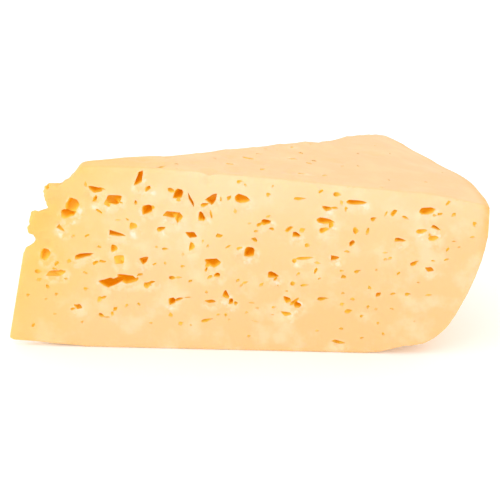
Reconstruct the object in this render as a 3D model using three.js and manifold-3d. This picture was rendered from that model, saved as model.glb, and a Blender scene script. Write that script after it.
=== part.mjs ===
// A wedge of rindless semi-hard cheese with small irregular eyes, lying on its base.
// Millimetres, +Z up. The wheel was halved level, so the wedge has a cut face at the front and
// one at the back, a flat base, a gently falling top and a strip of the wheel's rounded rim.
//
// The plan is laid out from the tip: the front cut runs along +X from (0, 0) and the back cut
// leaves the same point, turned WEDGE_ANGLE to the left. At the end the solid is moved so that
// the origin is the middle of its bounding box, on the base.
import * as THREE from "three";
import { mergeVertices } from "three/addons/utils/BufferGeometryUtils.js";
import Module from "manifold-3d";

// The wheel that the wedge was cut from.
const WHEEL_RADIUS = 133;
const RIM_HEIGHT = 41.2; // the rim's top edge above the base
const CROWN_RISE = 11; // how far the top climbs from the rim to the wheel's axis
const SHOULDER_WIDTH = 20; // the ring next to the rim where the top falls faster
const SHOULDER_DROP = 1.8;
const RIM_EDGE_RADIUS = 1.2;
const ROLL_WIDTH = 29; // how far the rim rolls in before it meets the flat base
const RIM_BAND = 5.2; // the upright band between the roll and the rim's top edge
const ROLL_BASE_POWER = 3; // how late the roll leaves the base
const ROLL_SIDE_POWER = 1.3; // how soon it leaves the upright rim
const ROLL_STEPS = 14;
const TOP_STEPS = 16;
const WHEEL_SEGMENTS = 144;

// The two knife cuts and the worn tip between them.
const WEDGE_ANGLE = 36; // degrees on the base, from the tip to the ends of the two cuts
const BACK_LEAN = 4; // degrees that the back cut leans over the front one
const BACK_BOW = 8.6; // how hollow the back cut is at its middle
const TIP_FROM_AXIS = new THREE.Vector2(6.9, 7.5); // the cuts meet this far off the wheel's axis
const TIP_WIDTH = 0.8; // flat left where the tip is worn
const TIP_DROOP = 3.7; // how far the top sinks at the tip
const TIP_DROOP_LENGTH = 53;
const TIP_LIFT = 1.6; // how far the base curls up at the tip
const TIP_LIFT_LENGTH = 20;

// The broken corner: its edge seen from the front, from the top of the tip (right, up).
const BROKEN_EDGE = [
  [-1.9, -11.1], [-0.4, -11.7], [1, -11.8], [2.2, -11], [1.9, -9.4], [0.9, -7.8], [1, -6],
  [1.9, -4.1], [3.7, -4.4], [5, -4.6], [6.8, -3.7], [8, -2.8], [9.7, -1.1], [11, 1],
];
// An eye broken open on the tip: its height under the top of the tip and its half sizes.
const TIP_NOTCH = { below: 19.6, reach: 2.7, through: 4, half: 1.6 };

// The larger eyes: place of the centre along the cut and up, width, height, tilt in degrees.
const EYE_DEPTH = 0.55; // depth of an eye as a share of its width and height together
const FRONT_EYES = [
  [17.8, 38.8, 3.8, 6, -8], [24, 44, 3.6, 1.8, 0], [29, 41.1, 3.8, 2.6, 0], [35.8, 46.9, 1.7, 4.2, -18],
  [37.8, 39.1, 3.6, 2.8, 12], [34, 33.9, 3, 2.2, 0], [29.3, 32, 4.8, 1.4, -13], [20.5, 25.8, 5, 1.9, 18],
  [29, 27.8, 2.6, 2.4, 0], [29.7, 24.7, 2.6, 2.2, 35], [36.2, 24.6, 2.5, 2, 30], [27.6, 18.2, 5, 2.8, 10],
  [31.8, 19.6, 5, 2.7, -4], [13.3, 20.7, 4.6, 1.7, 8], [46, 43.4, 2.8, 3.6, -10], [44.3, 37, 4, 2.4, -10],
  [49.4, 31.9, 3, 2, 0], [49.2, 28.8, 2.2, 3, 0], [51.9, 37, 1.8, 3.2, 0], [54.4, 41.2, 3.4, 2.2, 30],
  [54.4, 24.7, 3.4, 3, 25], [62.4, 42.4, 3, 2.4, -15], [68.4, 36, 2.8, 2.2, 25], [64.3, 27.8, 3.2, 3.2, 0],
  [70.3, 21.4, 2.6, 2.6, 0], [43.8, 13.9, 3, 2.4, 20], [58.8, 15, 1.8, 4.2, 35], [74.2, 14.6, 2.6, 2, -20],
  [76.3, 31.8, 2.2, 2.2, 0], [83.8, 36.4, 4.4, 2, -15], [83.6, 34.4, 3.6, 1.4, 15], [84.5, 40.1, 3, 1.4, -5],
  [91.6, 41.7, 4.6, 1.5, -4], [109.5, 39.8, 3.4, 2, 8], [103, 31.7, 3, 1.8, -10], [111, 23.6, 2.4, 1.6, 0],
];
const BACK_EYES = [
  [22, 33, 3.4, 2.6, 20], [27, 20, 4.6, 2.2, -15], [33, 40, 3, 2.2, 0], [38, 27, 2.6, 3.6, 10],
  [46, 35, 4.4, 2.4, 15], [49, 17, 3, 2, 0], [57, 28, 3.6, 2.8, -20], [63, 38, 3, 1.8, 10],
  [66, 14, 3.4, 2, 25], [74, 30, 2.8, 2.8, 0], [80, 21, 4, 1.8, -10], [87, 35, 3, 2, 15],
  [95, 26, 2.6, 2, 0], [101, 14, 2.4, 1.6, 20],
];

const REACH = 300; // half length of the cutting blocks, past every face of the wheel

const wasm = await Module();
wasm.setup();

// Turns a closed three.js geometry into a solid that can be joined and cut.
function solidFrom(geometry) {
  const bare = geometry.clone();
  bare.deleteAttribute("normal");
  bare.deleteAttribute("uv");
  const merged = mergeVertices(bare, 1e-4);
  const corners = merged.index.array;
  const kept = [];
  for (let i = 0; i < corners.length; i += 3) {
    const [a, b, c] = [corners[i], corners[i + 1], corners[i + 2]];
    if (a !== b && b !== c && c !== a) kept.push(a, b, c);
  }
  return new wasm.Manifold(new wasm.Mesh({
    numProp: 3,
    vertProperties: new Float32Array(merged.attributes.position.array),
    triVerts: new Uint32Array(kept),
  }));
}

// Height of the top face at a distance from the wheel's axis.
function topHeight(radius) {
  const tipRadius = TIP_FROM_AXIS.length();
  const shoulder = Math.max(0, (radius - WHEEL_RADIUS + SHOULDER_WIDTH) / SHOULDER_WIDTH);
  const nearTip = 1 - Math.max(0, radius - tipRadius) / TIP_DROOP_LENGTH;
  const droop = TIP_DROOP * Math.max(0, nearTip) ** 2;
  return RIM_HEIGHT + CROWN_RISE * (1 - radius / WHEEL_RADIUS) + SHOULDER_DROP * (1 - shoulder ** 2) - droop;
}

// The whole wheel as one turned solid, standing on its flat base.
function makeWheel() {
  const rollHeight = RIM_HEIGHT - RIM_BAND;
  const outline = [new THREE.Vector2(0, 0)];
  for (let i = 0; i <= ROLL_STEPS; i++) {
    const turn = (Math.PI / 2) * (i / ROLL_STEPS);
    const out = Math.sin(turn) ** (2 / ROLL_BASE_POWER);
    const up = 1 - Math.max(0, Math.cos(turn)) ** (2 / ROLL_SIDE_POWER);
    outline.push(new THREE.Vector2(WHEEL_RADIUS - ROLL_WIDTH * (1 - out), rollHeight * up));
  }
  outline.push(new THREE.Vector2(WHEEL_RADIUS, RIM_HEIGHT - RIM_EDGE_RADIUS));
  outline.push(new THREE.Vector2(WHEEL_RADIUS - 0.3 * RIM_EDGE_RADIUS, RIM_HEIGHT - 0.3 * RIM_EDGE_RADIUS));
  for (let i = 0; i <= TOP_STEPS; i++) {
    const radius = (WHEEL_RADIUS - RIM_EDGE_RADIUS) * (1 - i / TOP_STEPS);
    outline.push(new THREE.Vector2(radius, topHeight(radius)));
  }
  const wheel = new THREE.LatheGeometry(outline, WHEEL_SEGMENTS);
  wheel.rotateX(Math.PI / 2);
  wheel.translate(-TIP_FROM_AXIS.x, -TIP_FROM_AXIS.y, 0);
  return solidFrom(wheel);
}

// Length of the back cut on the base, from the tip to the full radius of the wheel.
function backCutLength() {
  const along = new THREE.Vector2(Math.cos(cutAngle), Math.sin(cutAngle)).dot(TIP_FROM_AXIS);
  return Math.sqrt(along ** 2 + WHEEL_RADIUS ** 2 - TIP_FROM_AXIS.lengthSq()) - along;
}

const cutAngle = THREE.MathUtils.degToRad(WEDGE_ANGLE);
const leanAngle = THREE.MathUtils.degToRad(BACK_LEAN);
const backLength = backCutLength();
const tipAngle = cutAngle - Math.atan(4 * BACK_BOW / backLength); // between the cuts right at the tip
const tipSlope = Math.sin(leanAngle) / Math.sin(tipAngle); // how far the tip leans back per mm of height
const tipTop = topHeight(TIP_FROM_AXIS.length());

// Everything behind the front cut.
function makeFrontSide() {
  const side = new THREE.BoxGeometry(2 * REACH, REACH, REACH);
  side.translate(0, REACH / 2, 0);
  return solidFrom(side);
}

// Carries a shape from the back cut's own frame (along, out, up) into the plan.
function ontoBackCut(geometry) {
  geometry.rotateX(leanAngle);
  geometry.rotateZ(cutAngle);
  geometry.translate(-TIP_WIDTH / Math.tan(tipAngle), 0, 0);
  return geometry;
}

// Everything on the cheese's side of the leaning, slightly hollow back cut.
function makeBackSide() {
  const edge = new THREE.Shape();
  edge.moveTo(-REACH, 0);
  edge.lineTo(0, 0);
  edge.quadraticCurveTo(backLength / 2, -2 * BACK_BOW, backLength, 0);
  edge.lineTo(backLength + REACH, 0);
  edge.lineTo(backLength + REACH, -REACH);
  edge.lineTo(-REACH, -REACH);
  edge.closePath();
  const side = new THREE.ExtrudeGeometry(edge, {
    depth: REACH, bevelEnabled: false, curveSegments: 16,
  });
  side.translate(0, 0, -REACH / 2);
  return solidFrom(ontoBackCut(side));
}

// An outline in the front cut's plane (right, up), carried straight back through the cheese.
function throughTip(outline) {
  const cutter = new THREE.ExtrudeGeometry(outline, {
    depth: 2 * REACH, bevelEnabled: false, curveSegments: 3,
  });
  cutter.rotateX(Math.PI / 2);
  cutter.translate(0, REACH, 0);
  return solidFrom(cutter);
}

// The narrow worn face at the tip, which leans back with the back cut.
function makeTipWear() {
  const outline = new THREE.Shape();
  outline.moveTo(-tipSlope * REACH, -REACH);
  outline.lineTo(tipSlope * REACH, REACH);
  outline.lineTo(-REACH, REACH);
  outline.lineTo(-REACH, -REACH);
  outline.closePath();
  return throughTip(outline);
}

// The base curls up a little towards the tip.
function makeTipLift() {
  const outline = new THREE.Shape();
  outline.moveTo(TIP_LIFT_LENGTH, 0);
  outline.lineTo(-TIP_LIFT_LENGTH, 2 * TIP_LIFT);
  outline.lineTo(-TIP_LIFT_LENGTH, -TIP_LIFT);
  outline.lineTo(TIP_LIFT_LENGTH, -TIP_LIFT);
  outline.closePath();
  return throughTip(outline);
}

// The corner that broke away at the top of the tip, along eyes that it ran through.
function makeBrokenCorner() {
  const tipX = tipSlope * tipTop;
  const points = BROKEN_EDGE.map(([right, up]) => new THREE.Vector2(tipX + right, tipTop + up));
  const last = points[points.length - 1];
  const outline = new THREE.Shape();
  outline.moveTo(points[0].x, points[0].y);
  outline.splineThru(points.slice(1));
  outline.lineTo(last.x, last.y + REACH);
  outline.lineTo(-REACH, last.y + REACH);
  outline.lineTo(-REACH, points[0].y);
  outline.closePath();
  return throughTip(outline);
}

// One eye as a stretched ball with its tilt, centred on the cut face at (0, 0, 0).
function eyeShape(width, height, tilt) {
  const ball = new THREE.IcosahedronGeometry(1, 1);
  ball.scale(width / 2, EYE_DEPTH * (width + height) / 2, height / 2);
  ball.rotateY(-THREE.MathUtils.degToRad(tilt));
  return ball;
}

function frontEye([along, up, width, height, tilt]) {
  const ball = eyeShape(width, height, tilt);
  ball.translate(along, 0, up);
  return solidFrom(ball);
}

function backEye([along, up, width, height, tilt]) {
  const ball = eyeShape(width, height, tilt);
  const share = along / backLength;
  ball.translate(along, -4 * BACK_BOW * share * (1 - share), up);
  return solidFrom(ontoBackCut(ball));
}

function makeTipNotch() {
  const ball = new THREE.IcosahedronGeometry(1, 1);
  const height = tipTop - TIP_NOTCH.below;
  ball.scale(TIP_NOTCH.reach, TIP_NOTCH.through, TIP_NOTCH.half);
  ball.translate(tipSlope * height, TIP_WIDTH, height);
  return solidFrom(ball);
}

// The wheel cut down to the wedge, then its broken corner and its eyes.
function makeWedge() {
  let wedge = makeWheel().intersect(makeFrontSide()).intersect(makeBackSide());
  for (const cutter of [makeTipWear(), makeTipLift(), makeBrokenCorner(), makeTipNotch()]) {
    wedge = wedge.subtract(cutter);
  }
  for (const eye of FRONT_EYES) wedge = wedge.subtract(frontEye(eye));
  for (const eye of BACK_EYES) wedge = wedge.subtract(backEye(eye));
  return wedge;
}

// The solid as three.js geometry, with its origin in the middle of the base.
function geometryFrom(solid) {
  const mesh = solid.getMesh();
  const geometry = new THREE.BufferGeometry();
  geometry.setAttribute("position", new THREE.BufferAttribute(new Float32Array(mesh.vertProperties), 3));
  geometry.setIndex(new THREE.BufferAttribute(new Uint32Array(mesh.triVerts), 1));
  geometry.computeBoundingBox();
  const middle = geometry.boundingBox.getCenter(new THREE.Vector3());
  geometry.translate(-middle.x, -middle.y, -geometry.boundingBox.min.z);
  geometry.computeVertexNormals();
  return geometry;
}

const cheese = new THREE.MeshStandardMaterial({ color: 0xfcdaa2, roughness: 0.5, metalness: 0 });
const wedgeMesh = new THREE.Mesh(geometryFrom(makeWedge()), cheese);
wedgeMesh.name = "cheese_wedge";

const part = new THREE.Group();
part.name = "cheese_wedge_part";
part.add(wedgeMesh);

export default part;
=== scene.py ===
"""A wedge of rindless semi-hard cheese with small irregular eyes.

The frame gives the wedge's place and size: the knife cuts, the falling top, the rolled rim and
the broken corner at the tip. This file softens its edges, makes its faces slightly uneven, opens
its eyes and gives it its paste. Everything is in metres; sizes are written in millimetres * MM.
"""

import math

import bmesh
import bpy
from mathutils import Matrix, Vector, noise


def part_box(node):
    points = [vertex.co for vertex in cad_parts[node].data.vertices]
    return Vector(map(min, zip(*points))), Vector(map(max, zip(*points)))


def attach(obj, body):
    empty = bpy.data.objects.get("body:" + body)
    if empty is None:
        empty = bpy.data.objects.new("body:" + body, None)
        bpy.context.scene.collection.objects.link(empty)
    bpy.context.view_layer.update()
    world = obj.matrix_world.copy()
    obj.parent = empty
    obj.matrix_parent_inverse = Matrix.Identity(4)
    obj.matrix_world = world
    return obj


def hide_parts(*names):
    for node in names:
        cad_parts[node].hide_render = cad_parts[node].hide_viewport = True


bl_info = {
    "name": "Cheese Wedge",
    "version": (1, 0, 0),
    "blender": (4, 5, 0),
    "location": "View3D > Sidebar > Cheese",
    "description": "Builds a wedge of semi-hard cheese with small eyes, and its stage",
    "category": "Add Mesh",
}

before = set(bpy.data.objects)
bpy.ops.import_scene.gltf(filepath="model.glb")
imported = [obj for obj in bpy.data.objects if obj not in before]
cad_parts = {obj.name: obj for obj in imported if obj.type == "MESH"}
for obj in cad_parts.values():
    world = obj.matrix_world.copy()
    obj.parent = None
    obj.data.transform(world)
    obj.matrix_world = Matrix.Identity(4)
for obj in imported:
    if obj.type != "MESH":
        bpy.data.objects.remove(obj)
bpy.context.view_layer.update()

MM = 0.001
NODE = "cheese_wedge"
LOW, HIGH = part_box(NODE)

# The wheel that the wedge was cut from and the two cuts, as the frame has them.
WHEEL_RADIUS = 133 * MM
TIP = LOW + Vector((-0.34, 0, 0)) * MM
WHEEL_AXIS = TIP + Vector((-6.9, -7.5, 0)) * MM
BACK_START = TIP + Vector((-2.16, 0, 0)) * MM
BACK_LENGTH = 123.2 * MM
BACK_BOW = 8.6 * MM
BACK_TURN = Matrix.Rotation(math.radians(36), 3, "Z")
BACK_ALONG = BACK_TURN @ Vector((1, 0, 0))
BACK_OUT = BACK_TURN @ Matrix.Rotation(math.radians(4), 3, "X") @ Vector((0, 1, 0))

EYE_LIMIT = 4.5 * MM  # deeper than any of the frame's eyes
LARGE_EYE = 2.2 * MM  # wider eyes get the finest blanks
RIM_GAIN = 0.65 * MM  # what softening takes from the rim
TIP_GAIN = 1.4 * MM  # and more than it takes from the edge of the tip
TIP_SLOPE = 0.2  # the tip's edge leans away from the tip as it rises
TIP_TOP = 28.5 * MM  # where the tip's whole edge ends and the broken corner begins
ROLL_LIFT = 1.2 * MM  # the roll leaves the base sooner
ROLL_DROP = 0.8 * MM  # and is fuller further out
FOOT_RADIUS = 3 * MM
CRUMB_HEIGHT = 0.5 * MM
FRONT_SKIN = 3 * MM  # how far behind the front cut its hollows still press
TOP_PRESS = (22 * MM, 42 * MM)  # heights over which the top's hollows come in
ROLL_LIFT_BAND = (14 * MM, 28 * MM)  # in from the rim
ROLL_DROP_BAND = (6 * MM, 17 * MM)
BREAK_HEIGHT = (26 * MM, 32 * MM)  # heights over which the broken corner begins
BREAK_REACH = (14 * MM, 21 * MM)  # distances from the tip over which it ends
TIP_REACH = 9 * MM
FOOT_REACH = 3 * MM
SLOW_SWELL = 0.055  # swells to the millimetre
QUICK_SWELL = 0.17

BLANK_COUNT = 9
EYE_FILL = 1.25  # a chipped blank fills about four fifths of its ball
EYE_MARGIN = 0.25  # millimetres that an eye in a cut goes deeper than its share
TOP_EYE_SHARE = 0.35
TOP_EYE_LEAN = 0.3  # radians
RAGGED = 0.46
SHARP_ANGLE = math.radians(42)
EYE_DENSITY = 42000.0
LEAST_EYE = 0.6 * MM
MOST_EYE = 3.6 * MM
SEED = 11

LOOK_AT = LOW + Vector((63.2, 20.0, 21.5)) * MM
KEY_PLACE = Vector((-0.2, -0.45, 0.75))  # from the middle of the wedge
KEY_SIZE = 0.8

# Eyes on the front cut: along from the tip, up from the base, width, height in millimetres and
# tilt in degrees. Deep ones show a bottom painted dark orange as shade and glow, open ones are bowls,
# faint ones are dimples.
DEEP_EYES = (
    (24.2, 44.2, 3.6, 1.8, 0), (29, 41.3, 3.6, 2.6, 10), (30.9, 40.7, 1.6, 0.8, -20),
    (35.7, 46.9, 4.4, 1.7, 75), (37.8, 39.1, 3.4, 2.8, 15), (34.9, 40.6, 0.9, 1.2, -20),
    (29.2, 32.1, 4.8, 1.5, -15), (28.8, 28, 2.6, 2.4, 0), (20.6, 25.9, 4.9, 1.9, 18),
    (36.5, 24.9, 2.6, 2, 25), (27.3, 18.5, 4.8, 2.9, 12), (31.7, 19.9, 5, 2.8, 5),
    (29.3, 19.1, 3.4, 2, 20), (34.5, 19.5, 1.5, 1, 30), (35.6, 21, 2, 0.8, 20),
    (25.7, 14.2, 2, 1.1, 20), (25, 9.2, 1.5, 1.3, 0), (46.1, 43.4, 2.8, 3.2, -10),
    (46, 41.5, 1.3, 1.4, 0), (49.2, 41.5, 4, 0.8, -65), (54.4, 41.8, 3.6, 2.3, 40),
    (51.9, 37.2, 1.9, 3.4, -5), (54.3, 38.2, 0.8, 2.6, 10), (62.3, 42.5, 3.2, 2.4, -20),
    (43.8, 37.6, 3.4, 1.7, 0), (45.9, 36.7, 1.4, 2.6, -20), (49.2, 32.1, 3, 1.9, -5),
    (49.2, 28.9, 2.2, 2.8, -10), (68.4, 36.1, 2.4, 2.2, 20), (70, 34.2, 1.4, 1.3, 0),
    (65.7, 31.2, 2.1, 1.2, -25), (64.3, 28, 3.3, 3.2, 0), (54.4, 24.8, 3.8, 2.8, 20),
    (53.5, 23.9, 2, 1.4, 10), (52.9, 22.7, 1.1, 1.1, 20), (53.9, 20.4, 1.7, 1, 0),
    (55.8, 21.2, 2.2, 1.5, -5), (43.9, 20.3, 2, 1, 0), (43.8, 13.9, 2.3, 2.2, 20),
    (45.6, 14.3, 2.6, 0.9, 10), (58.1, 15.9, 2.5, 1.7, -50), (59.4, 14.1, 1.6, 2, 0),
    (60.8, 13.4, 0.9, 1.1, 0), (70.3, 21.6, 2.8, 2.5, 0), (71, 20.4, 1.2, 1, 0),
    (74, 14.9, 2.1, 2, 0), (75.8, 14.2, 2.8, 1, 40), (76.9, 13.5, 2.1, 1.6, -20),
    (76.3, 32.8, 2.1, 2, 0), (83.6, 36.8, 3.8, 1.7, -12), (85.2, 35.5, 1.8, 2.4, 0),
    (83.4, 34, 3.8, 1.7, 14), (83.9, 40.1, 2.4, 1.5, 5), (91.4, 41.9, 4.4, 1.4, -5),
    (109.5, 40.1, 3.4, 2, 5), (90.7, 30.8, 1.5, 1.6, 0), (96.2, 37.4, 1.3, 1, 20),
    (102.9, 31.9, 2.8, 1.5, 0), (112, 35.4, 2.5, 1.2, -20), (86.1, 26.6, 2.4, 1.5, -5),
    (107.1, 25.7, 2, 1, 30), (88.8, 21.6, 1.7, 1.2, 20), (90.3, 11.9, 2, 1.4, 10),
    (97.7, 16.7, 1.5, 1.4, 0), (87.5, 3.2, 2.9, 1, -12), (83.6, 15.3, 2.4, 0.9, 5),
)
OPEN_EYES = (
    (18.3, 40.2, 2.9, 4.2, -15), (17, 37.5, 4, 3.2, 20), (26.2, 44.2, 1.8, 0.8, 0),
    (24.4, 41.7, 1.4, 2.2, -10), (27.6, 40.4, 1.8, 1.8, 0), (36.3, 48.3, 1.4, 1.6, 0),
    (38, 44.6, 2.4, 1.3, 30), (39.1, 39.5, 1.6, 1.8, 0), (34, 34.2, 3, 2.3, 0),
    (41.2, 33.7, 2.4, 1.7, 30), (14.9, 33.5, 2.6, 1.2, -50), (10.7, 26.6, 2.2, 3.2, -10),
    (30.1, 24.8, 2.6, 2.2, 30), (17, 24.2, 1.2, 1.5, -20), (23.8, 24, 1.8, 1.3, 0),
    (25.5, 24.4, 2.1, 0.9, -15), (13.1, 20.8, 4.4, 1.7, 8), (15, 21.3, 1.7, 1.1, 0),
    (37.6, 18, 1.8, 1.5, 0), (38.3, 18.8, 2.7, 0.9, 20), (18.9, 11.6, 2.2, 1.6, 0),
    (17.5, 10.9, 1.5, 0.9, 30), (24.6, 13.6, 1.5, 1.7, 0), (28.6, 11.1, 1.3, 1.4, 0),
    (27.9, 9.5, 1.1, 1.7, 10), (26.5, 8.8, 1.8, 0.6, 0), (44.2, 44, 2, 1.5, 0),
    (52.6, 40.4, 2.2, 1.6, 30), (58.9, 42.3, 1.5, 1.2, 20), (45, 34.8, 1.7, 1.1, 0),
    (56.2, 32.1, 1.9, 1.3, -20), (66.7, 35.3, 2, 1.1, 20), (69.2, 37.6, 1.4, 0.8, 20),
    (61.6, 28.7, 2.6, 1.1, 20), (42.3, 28.1, 1.7, 0.9, 15), (45.8, 20.3, 1.8, 0.8, 0),
    (48.6, 19.4, 1.2, 0.9, 0), (48, 14.9, 1.8, 0.5, 8), (43.5, 9.8, 1.5, 1.3, 0),
    (46.1, 7.4, 1.3, 1.4, 20), (54, 13.9, 2.9, 1.1, 5), (53.2, 8.6, 2.6, 0.9, 15),
    (56.1, 10.2, 1.1, 0.8, 20), (63.2, 19.3, 1.7, 0.9, 20), (61.2, 19.9, 1.4, 0.7, 30),
    (67.5, 18.9, 1.5, 1, 40), (73.7, 10.9, 2.8, 1.3, 5), (75.5, 19.4, 1.6, 1.2, 20),
    (76.9, 21.9, 0.9, 1.1, -30), (74.4, 34.3, 2.3, 1.2, 20), (78, 34, 1.6, 1.5, 20),
    (79.2, 30, 1.6, 1.1, 0), (78.2, 26.4, 4, 0.9, 2), (75.9, 25.7, 1.5, 1.2, 20),
    (86.5, 43.9, 2.2, 1.2, 0), (86, 40.2, 2, 1.1, 0), (91.5, 34.3, 1.6, 1.8, 10),
    (94.7, 34, 1, 1.9, -5), (101.2, 39.2, 2, 1.5, 20), (104.2, 37.9, 1.8, 0.8, -15),
    (112.8, 39, 1.5, 0.9, 0), (116.5, 38.9, 1.3, 1.1, 0), (108.3, 34.5, 2.5, 1.3, 5),
    (111.4, 32.7, 2.3, 1.4, 0), (99.4, 26.5, 1, 0.7, 0), (115.1, 26.8, 1.4, 0.6, 5),
    (110.9, 24, 2.3, 1.5, 0), (82, 25, 1.7, 1, -15), (81.5, 23.1, 1, 1.6, 0),
    (92.4, 23.1, 1.5, 0.8, 20), (88.6, 13.8, 1.2, 1.2, 20), (93.6, 10.7, 1.1, 0.8, 30),
    (95.2, 13.2, 0.9, 1, 20), (95.6, 18.7, 1.1, 1.3, 20), (101.6, 17.1, 1.4, 0.7, 0),
    (105.6, 17, 1.3, 0.9, 0), (111, 16.9, 1.7, 0.7, 5), (88.5, 7, 1.4, 0.9, 0),
)
FAINT_EYES = (
    (22.1, 45.4, 0.9, 1.6, 0), (25.3, 38.2, 2, 0.8, -50), (30.2, 35.8, 1.6, 0.8, 0),
    (32.6, 36.1, 1.2, 0.8, -40), (21.9, 31.5, 1.4, 0.9, 0), (24.9, 28.5, 1.2, 0.9, -45),
    (18.3, 31.2, 1.2, 0.8, 0), (13.6, 23.7, 1.3, 1.3, 0), (40.1, 28.8, 1, 0.7, 0),
    (39.4, 24, 1.1, 0.8, 0), (8.5, 21.4, 2.1, 1.1, 0), (13.2, 22, 1.3, 0.6, -20),
    (8.9, 19, 1.5, 1.1, 20), (11, 17, 1.1, 1.4, 0), (5.7, 14.6, 0.8, 0.8, 0),
    (10.4, 13.6, 0.8, 0.8, 0), (13.3, 15, 0.8, 0.8, 0), (12.6, 9.4, 0.9, 0.7, 0),
    (6.6, 6.1, 1.1, 1.1, 0), (20.9, 21.2, 1.6, 0.7, -30), (15.9, 19.4, 1, 0.9, 0),
    (21.2, 16.6, 1.1, 1, 0), (31.8, 12.2, 1.3, 0.8, 30), (35.1, 12.6, 0.9, 1, 0),
    (38.1, 7.4, 1.1, 0.6, -20), (19.9, 7.3, 0.8, 0.6, 30), (42.3, 24.4, 1, 0.9, 0),
    (46.9, 23.4, 1, 0.8, 0), (46.9, 26.7, 0.9, 1.2, -15), (53.4, 29.2, 0.9, 0.9, 0),
    (52.1, 30.4, 0.8, 1, 0), (58.7, 29.2, 1.7, 0.9, 35), (60.6, 38.8, 1, 1.5, 0),
    (66, 33.5, 1.2, 0.8, 30), (64.3, 35.6, 0.9, 0.7, 0), (69.2, 43.4, 1, 1.1, 0),
    (77.3, 42.5, 2.5, 0.8, 0), (56.9, 42.2, 0.7, 1.3, 0), (61.9, 46.6, 1.4, 1, 0),
    (63.2, 45.8, 0.9, 0.8, 0), (62.1, 18.6, 1.1, 0.7, 45), (71.8, 18.5, 0.8, 0.8, 0),
    (64.9, 13.7, 1.7, 0.6, 0), (66.3, 12.3, 1.1, 0.8, 0), (63.4, 10.8, 1, 0.8, 0),
    (58, 10.3, 1, 1, 0), (53, 16.5, 1, 0.9, 0), (70.6, 12.7, 1.3, 0.7, 10),
    (70.4, 10.5, 0.9, 0.6, 0), (78.5, 19, 2.4, 0.7, 10), (65.9, 8.4, 2, 0.6, -20),
    (64.2, 4.2, 0.8, 0.7, 0), (58.9, 8.9, 0.7, 0.7, 0), (48.7, 7.1, 0.8, 0.7, 0),
    (87.9, 41.6, 0.9, 1.7, 20), (89.1, 39.9, 0.7, 1.3, 0), (82.5, 44.6, 1.3, 1, 0),
    (99.2, 38.7, 0.8, 1.5, -15), (111.7, 38.6, 0.9, 0.7, 0), (114.8, 42, 0.9, 1.7, -30),
    (110.6, 33.5, 1, 0.8, 0), (121.5, 33, 1.4, 0.9, 10), (116.8, 31.8, 1, 0.7, 0),
    (118.2, 30.2, 0.9, 0.7, 0), (115.3, 29.6, 0.9, 1.1, 0), (89.6, 28.5, 1.7, 0.8, 0),
    (99.4, 28.3, 1.4, 0.7, 0), (100.6, 26.8, 1.3, 0.8, 0), (111.8, 26.3, 1.1, 0.7, 10),
    (88.2, 23.2, 1.3, 0.6, 0), (102.9, 22.8, 1, 0.9, 0), (97.2, 23.6, 0.8, 0.6, 0),
    (88.7, 17, 1.1, 0.8, 20), (91.3, 15.4, 1.5, 1, 0), (97.4, 12.7, 1, 0.8, 0),
    (101.6, 12.9, 1.3, 0.6, -15), (98, 8.8, 0.8, 1.2, -10), (107.5, 9.5, 0.8, 0.6, 0),
    (99.5, 5.6, 0.8, 1.1, 0), (82.1, 6.2, 1.1, 0.8, 0), (93.9, 4.5, 1, 0.6, 30),
    (108.1, 20.4, 0.8, 0.6, 0), (82.5, 20.9, 0.8, 0.6, 0), (74, 17.2, 0.9, 0.8, 0),
    (70.2, 45.7, 0.7, 0.7, 0), (122, 36.5, 0.9, 1.3, 10),
)
# Eyes on the back cut, listed the same way along that cut; they are guessed.
BACK_EYES = (
    (22, 33, 4, 3, 20), (27, 20, 5.2, 2.5, -15), (33, 40, 3.4, 2.5, 0), (38, 27, 3, 4, 10),
    (46, 35, 4.8, 2.7, 15), (49, 17, 3.4, 2.3, 0), (57, 28, 4, 3.1, -20), (63, 38, 3.4, 2.1, 10),
    (66, 14, 3.8, 2.3, 25), (74, 30, 3.2, 3.1, 0), (80, 21, 4.4, 2.1, -10), (87, 35, 3.4, 2.3, 15),
    (95, 26, 3, 2.3, 0), (101, 14, 2.8, 1.9, 20), (26, 21.5, 2.6, 1.4, 20), (47.5, 34, 2, 2.4, 0),
    (58.6, 26.4, 2.2, 1.6, -40), (41, 42, 2, 1.2, 0), (30, 29, 2.2, 1.3, 30), (70, 23, 2.4, 1, 0),
)
# Eyes in the top face: along from the tip, in from the front cut, length, breadth and turn.
TOP_EYES = (
    (67, 7.9, 1.5, 1.8, 0), (77.6, 7.8, 2.6, 1.2, 0), (58.2, 10.8, 2.4, 1.4, 0),
    (62.6, 18.9, 3.6, 1.6, -10), (74.5, 22.5, 3, 1.6, 10), (74, 35.6, 1.6, 2.2, 0),
    (79, 19.5, 1.8, 1.1, 0), (80.3, 22.7, 1.6, 1.4, 20), (76.6, 29.9, 1.6, 1.4, 0),
    (65.4, 24.5, 2.6, 0.9, 0), (66.9, 31, 1.4, 1, 0), (79, 41.9, 1.6, 1, 20),
    (83.5, 8.3, 1.3, 2, -10), (87.9, 19.7, 0.9, 1.2, 0), (92.1, 21.2, 0.9, 0.9, 0),
    (92.2, 34.9, 1, 1, 0), (97.1, 47.6, 1.1, 0.9, 0), (101.2, 40.2, 0.8, 1.3, 0),
    (98.1, 2.6, 1.2, 0.8, 0), (100.1, 9.9, 0.8, 0.8, 0), (110, 12, 1.2, 0.9, 0),
    (45, 6, 1.4, 1.1, 10), (54.1, 15.7, 1.3, 1, 0), (115, 27, 1, 0.8, 0),
)
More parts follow.
